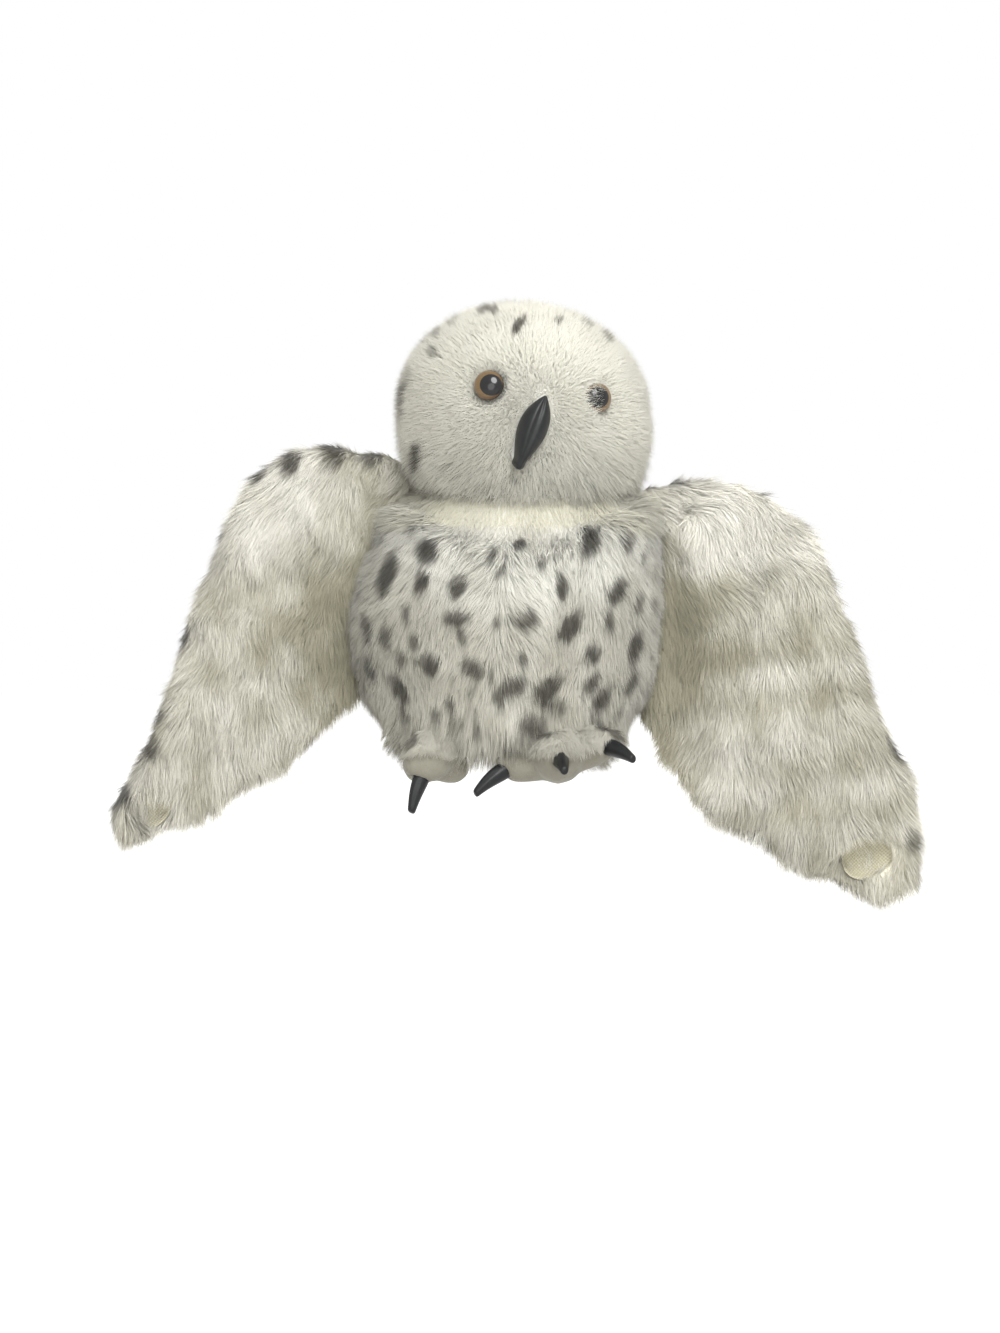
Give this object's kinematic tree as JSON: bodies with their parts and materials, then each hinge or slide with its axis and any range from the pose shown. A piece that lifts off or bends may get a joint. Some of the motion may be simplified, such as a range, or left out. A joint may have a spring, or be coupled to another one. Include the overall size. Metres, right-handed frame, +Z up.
{
  "type": "hand puppet",
  "caption": "Plush snowy owl hand puppet with a round turning head, spread padded wings, short feet with claws and a lined opening below for the hand.",
  "frame": {"origin": "centre of the hand opening, in the plane of the hem's underside", "axes": "+Z up through the neck, -Y the way the face looks, +X to the viewer's right along the spread wings"},
  "size_m": [0.4232, 0.1507, 0.31],
  "materials": {
    "white_plush": "long white pile",
    "spotted_plush": "long white pile with dark grey-brown spots",
    "cream_plush": "long cream pile",
    "velour": "short pile",
    "lining": "woven",
    "wadding": "loose fibre",
    "eye": "clear dome over an amber ring and a black pupil",
    "black_plastic": "semi-gloss",
    "washer": "matte"
  },
  "bodies": {
    "body": {"belly_left": "spotted_plush", "belly_right": "spotted_plush", "back_left": "spotted_plush", "back_right": "spotted_plush", "body_padding_belly": "wadding", "body_padding_back": "wadding", "hand_lining": "lining", "hem_binding": "white_plush", "neck_collar": "white_plush"},
    "finger_sleeve": {"head_finger_sleeve": "lining"},
    "head": {"head_face": "white_plush", "head_left": "spotted_plush", "head_right": "spotted_plush", "head_stuffing": "wadding", "eye_left": "eye", "eye_right": "eye", "eye_washer_left": "washer", "eye_washer_right": "washer", "beak": "black_plastic", "beak_washer": "washer"},
    "left_wing": {"wing_inner_left": "cream_plush", "wing_outer_left": "spotted_plush", "pocket_lining_left": "lining"},
    "right_wing": {"wing_inner_right": "cream_plush", "wing_outer_right": "spotted_plush", "pocket_lining_right": "lining"},
    "left_foot": {"foot_left": "velour", "claw_left_inner": "black_plastic", "claw_left_middle": "black_plastic", "claw_left_outer": "black_plastic"},
    "right_foot": {"foot_right": "velour", "claw_right_inner": "black_plastic", "claw_right_middle": "black_plastic", "claw_right_outer": "black_plastic"}
  },
  "joints": [
    {"name": "head_nod", "type": "hinge", "parent": "body", "child": "finger_sleeve", "pos_m": [0.0094, -0.004, 0.18], "axis": [1, 0, 0], "range_deg": [-15, 10]},
    {"name": "head_turn", "type": "hinge", "parent": "finger_sleeve", "child": "head", "pos_m": [0.0094, -0.004, 0.18], "axis": [0.1097, 0, 0.994], "range_deg": [-80, 60]},
    {"name": "left_wing_sweep", "type": "hinge", "parent": "body", "child": "left_wing", "pos_m": [-0.0815, 0.008, 0.05], "axis": [0, 0, 1], "range_deg": [-20, 75]},
    {"name": "right_wing_sweep", "type": "hinge", "parent": "body", "child": "right_wing", "pos_m": [0.0815, 0.008, 0.05], "axis": [0, 0, 1], "range_deg": [-75, 20]},
    {"name": "left_foot_swing", "type": "hinge", "parent": "body", "child": "left_foot", "pos_m": [-0.036, -0.05, 0.011], "axis": [1, 0, 0], "range_deg": [-30, 0]},
    {"name": "right_foot_swing", "type": "hinge", "parent": "body", "child": "right_foot", "pos_m": [0.027, -0.05, 0.011], "axis": [1, 0, 0], "range_deg": [-30, 0]}
  ]
}
